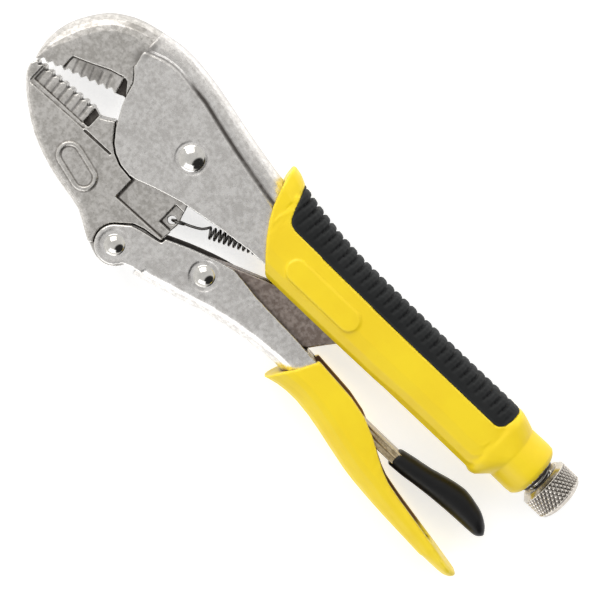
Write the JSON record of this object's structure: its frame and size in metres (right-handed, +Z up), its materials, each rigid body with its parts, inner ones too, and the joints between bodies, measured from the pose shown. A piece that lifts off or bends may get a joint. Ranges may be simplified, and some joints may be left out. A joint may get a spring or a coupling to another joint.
{
  "type": "locking pliers",
  "caption": "Curved jaw locking pliers with a wire cutter, toggle linkage, release lever, knurled adjusting screw and two-colour moulded grips",
  "frame": {"origin": "bottom centre of the bounding box, with the tool closed and lying on its side", "axes": "+X runs from the jaws to the adjusting knob, +Y from the lower handle to the back of the upper handle, +Z is up through the thickness"},
  "size_m": [0.2478, 0.0751, 0.023],
  "materials": {
    "nickel_plate": "satin nickel plated pressed steel",
    "forged_nickel": "satin nickel plated forging, finely pitted",
    "bare_steel": "brownish heat treated steel",
    "lever_steel": "yellow passivated sheet steel",
    "black_vinyl": "glossy dipped vinyl",
    "spring_steel": "drawn spring wire",
    "rivet_steel": "bright steel",
    "knob_nickel": "nickel plated, diamond knurled",
    "yellow_plastic": "satin moulded plastic",
    "soft_black": "matt ribbed soft insert"
  },
  "bodies": {
    "upper_handle": {"frame_channel": "nickel_plate", "fixed_jaw": "forged_nickel", "main_pivot_rivet": "rivet_steel", "spring_anchor_pin": "rivet_steel", "tension_spring": "spring_steel", "tail_bush": "bare_steel", "upper_grip": "yellow_plastic", "upper_grip_insert": "soft_black"},
    "lower_jaw": {"moving_jaw": "forged_nickel"},
    "lower_handle_body": {"lower_handle": "nickel_plate", "lower_grip": "yellow_plastic", "jaw_pivot_rivet": "rivet_steel", "link_rivet": "rivet_steel", "release_lever_rivet": "rivet_steel"},
    "link": {"toggle_link": "bare_steel"},
    "lever": {"release_lever": "lever_steel", "release_lever_sleeve": "black_vinyl"},
    "screw": {"adjusting_screw": "rivet_steel"},
    "knob": {"knurled_knob": "knob_nickel"}
  },
  "joints": [
    {"name": "jaw_hinge", "type": "hinge", "parent": "upper_handle", "child": "lower_jaw", "pos_m": [-0.05865, 0.01145, 0.0115], "axis": [0, 0, 1], "range_deg": [0, 18], "deforming": ["tension_spring"]},
    {"name": "handle_hinge", "type": "hinge", "parent": "lower_jaw", "child": "lower_handle_body", "pos_m": [-0.05745, -0.02955, 0.0115], "axis": [0, 0, 1], "range_deg": [-58, 0]},
    {"name": "link_hinge", "type": "hinge", "parent": "lower_handle_body", "child": "link", "pos_m": [-0.02685, -0.01575, 0.0115], "axis": [0, 0, 1], "range_deg": [0, 61]},
    {"name": "lever_hinge", "type": "hinge", "parent": "lower_handle_body", "child": "lever", "pos_m": [0.03635, -0.01795, 0.0115], "axis": [0, 0, 1], "range_deg": [-6, 0]},
    {"name": "screw_slide", "type": "slide", "parent": "upper_handle", "child": "screw", "axis": [1, 0, 0], "range_m": [-0.001, 0.015]},
    {"name": "knob_turn", "type": "hinge", "parent": "screw", "child": "knob", "pos_m": [0.11735, 0.01355, 0.0115], "axis": [1, 0, 0], "range_deg": [-240, 3600]}
  ],
  "couplings": [
    {"joint": "handle_hinge", "follows": "jaw_hinge", "ratio": -3.22},
    {"joint": "link_hinge", "follows": "jaw_hinge", "ratio": 3.37},
    {"joint": "knob_turn", "follows": "screw_slide", "rad_per_m": 4188.8}
  ]
}
